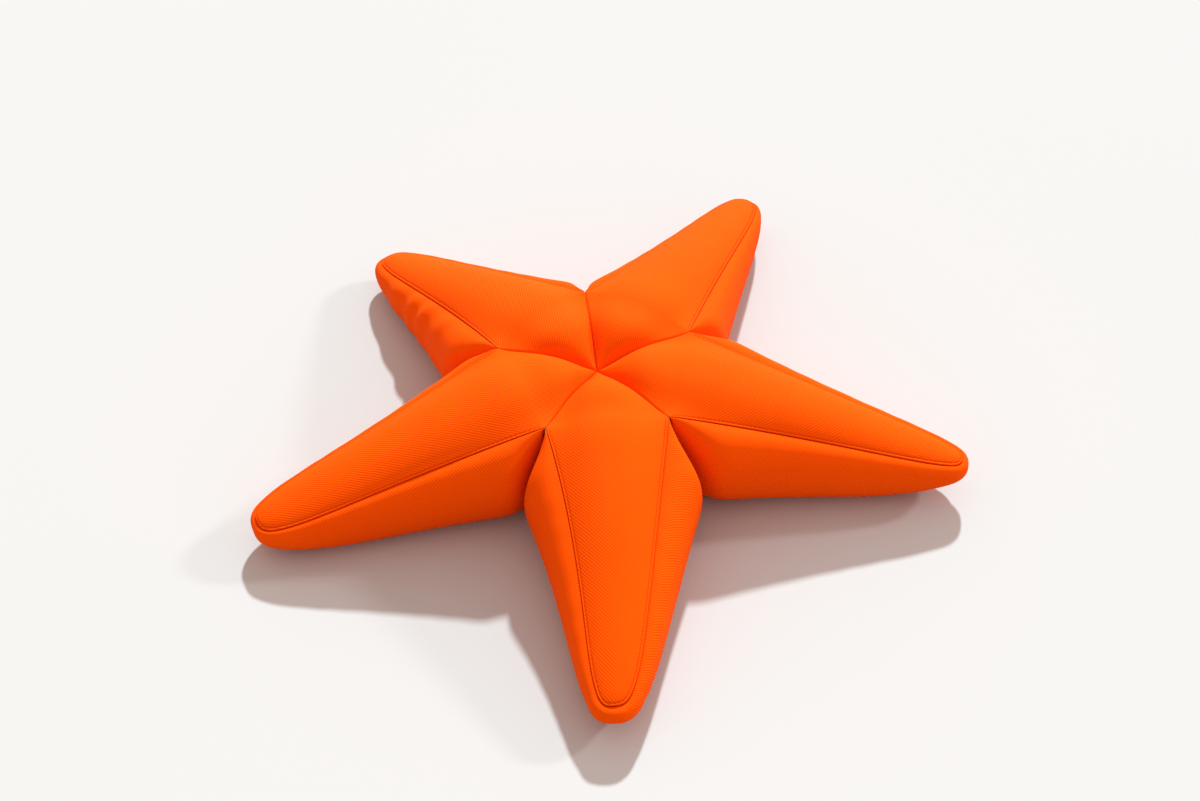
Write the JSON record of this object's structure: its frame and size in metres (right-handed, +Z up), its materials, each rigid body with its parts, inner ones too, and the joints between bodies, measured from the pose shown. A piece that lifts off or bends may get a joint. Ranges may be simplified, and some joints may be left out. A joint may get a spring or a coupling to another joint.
{
  "type": "starfish cushion",
  "caption": "Stuffed starfish-shaped floor and sofa cushion in orange twill, with puffed leaf-shaped tops, swelling side bands and a flat base to rest on.",
  "frame": {"origin": "on the flat base under the hub, where the top panels meet above it", "axes": "+Z up through the hub; -Y along the arm with side_band_1, which faces the viewer; +X to the right, between side_band_2 and side_band_3"},
  "size_m": [0.6035, 0.5801, 0.1164],
  "materials": {
    "cover_twill": "matt orange diagonal twill",
    "filling_fibre": "matt white polyester fibre"
  },
  "bodies": {
    "root": {"filling": "filling_fibre", "top_panel_1": "cover_twill", "top_panel_2": "cover_twill", "top_panel_3": "cover_twill", "top_panel_4": "cover_twill", "top_panel_5": "cover_twill", "side_band_1": "cover_twill", "side_band_2": "cover_twill", "side_band_3": "cover_twill", "side_band_4": "cover_twill", "side_band_5": "cover_twill", "base_panel": "cover_twill"}
  },
  "joints": []
}
